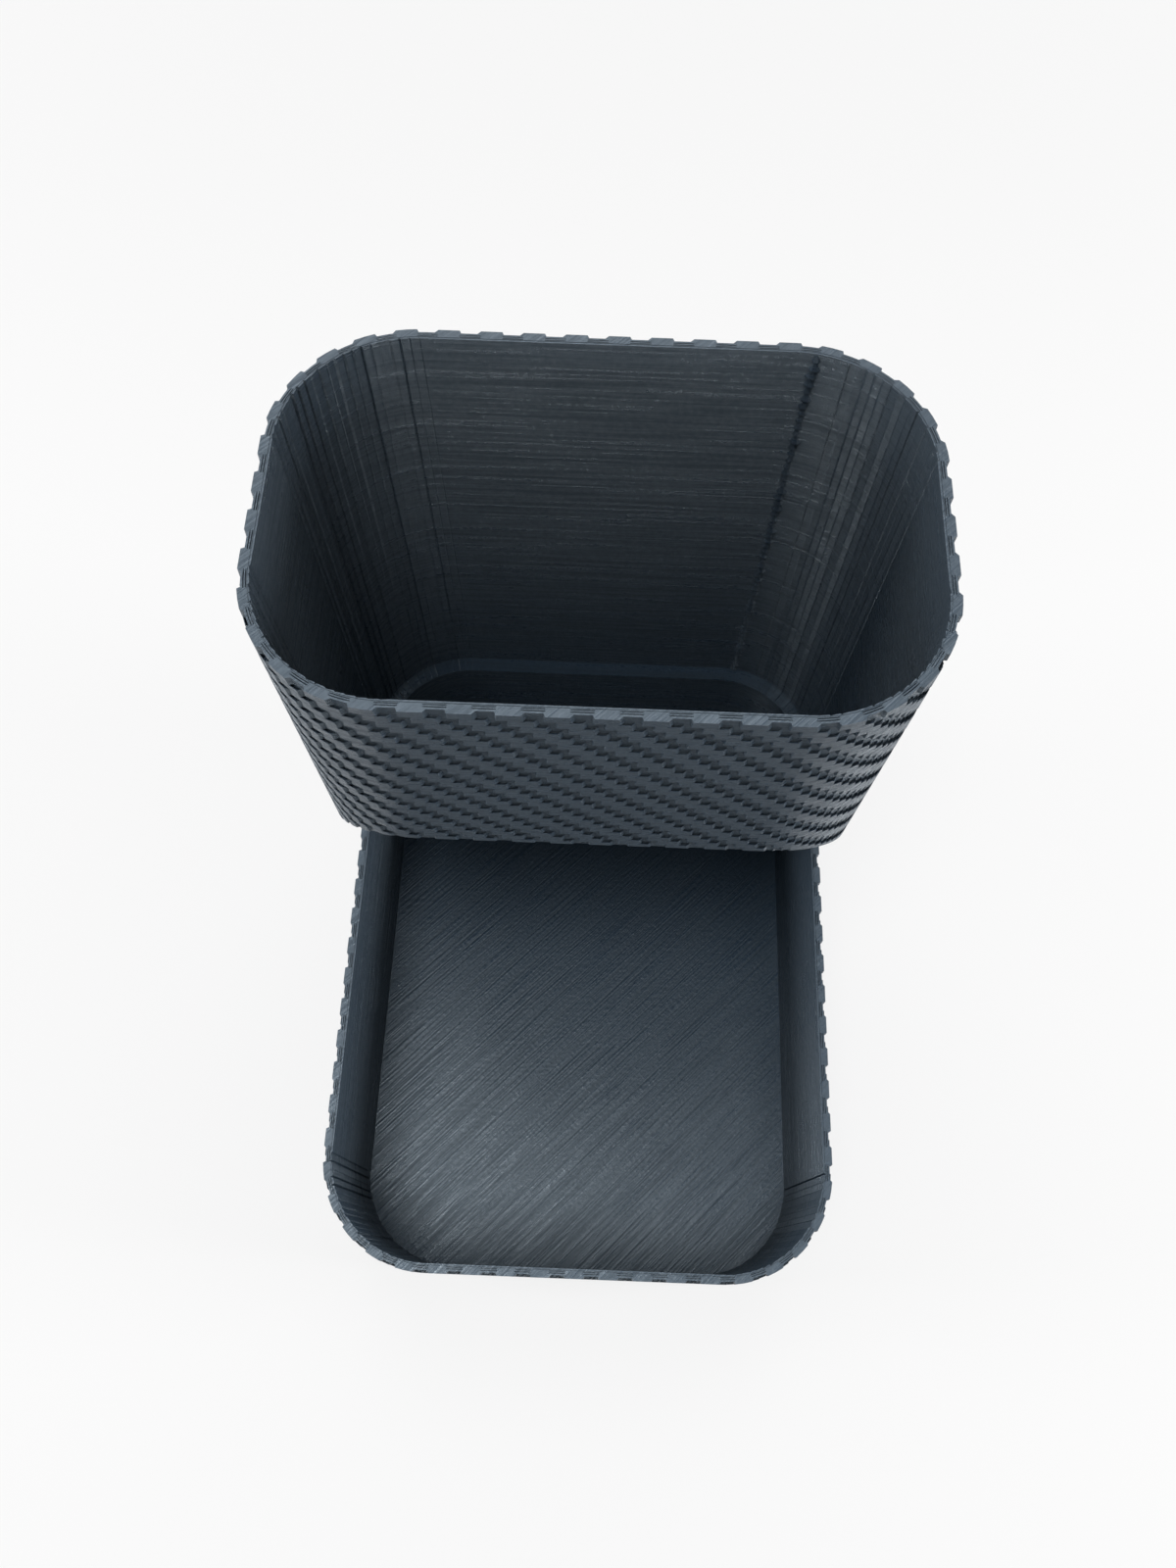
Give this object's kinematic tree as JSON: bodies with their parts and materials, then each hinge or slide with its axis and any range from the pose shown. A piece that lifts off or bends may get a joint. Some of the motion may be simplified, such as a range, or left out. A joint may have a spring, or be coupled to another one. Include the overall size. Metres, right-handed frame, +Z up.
{
  "type": "coffee capsule holder",
  "caption": "Free-standing capsule holder: a deep rounded tub with a taller bin set back over its rear, sloping underneath, that drops in and lifts out; woven relief outside.",
  "frame": {"origin": "on the worktop under the middle of the lower bin, at the level of the feet's undersides", "axes": "+Z up, +X to the right and +Y to the back, seen from the front of the holder"},
  "size_m": [0.13, 0.172, 0.2],
  "materials": {
    "printed_plastic": "matte, fine layer lines",
    "foot_rubber": "matte"
  },
  "bodies": {
    "lower": {"lower_bin": "printed_plastic", "foot_front_left": "foot_rubber", "foot_front_right": "foot_rubber", "foot_rear_left": "foot_rubber", "foot_rear_right": "foot_rubber"},
    "upper": {"upper_bin": "printed_plastic"}
  },
  "joints": [
    {"name": "upper_bin_lift", "type": "slide", "parent": "lower", "child": "upper", "axis": [0, 0, 1], "range_m": [0, 0.075]}
  ]
}
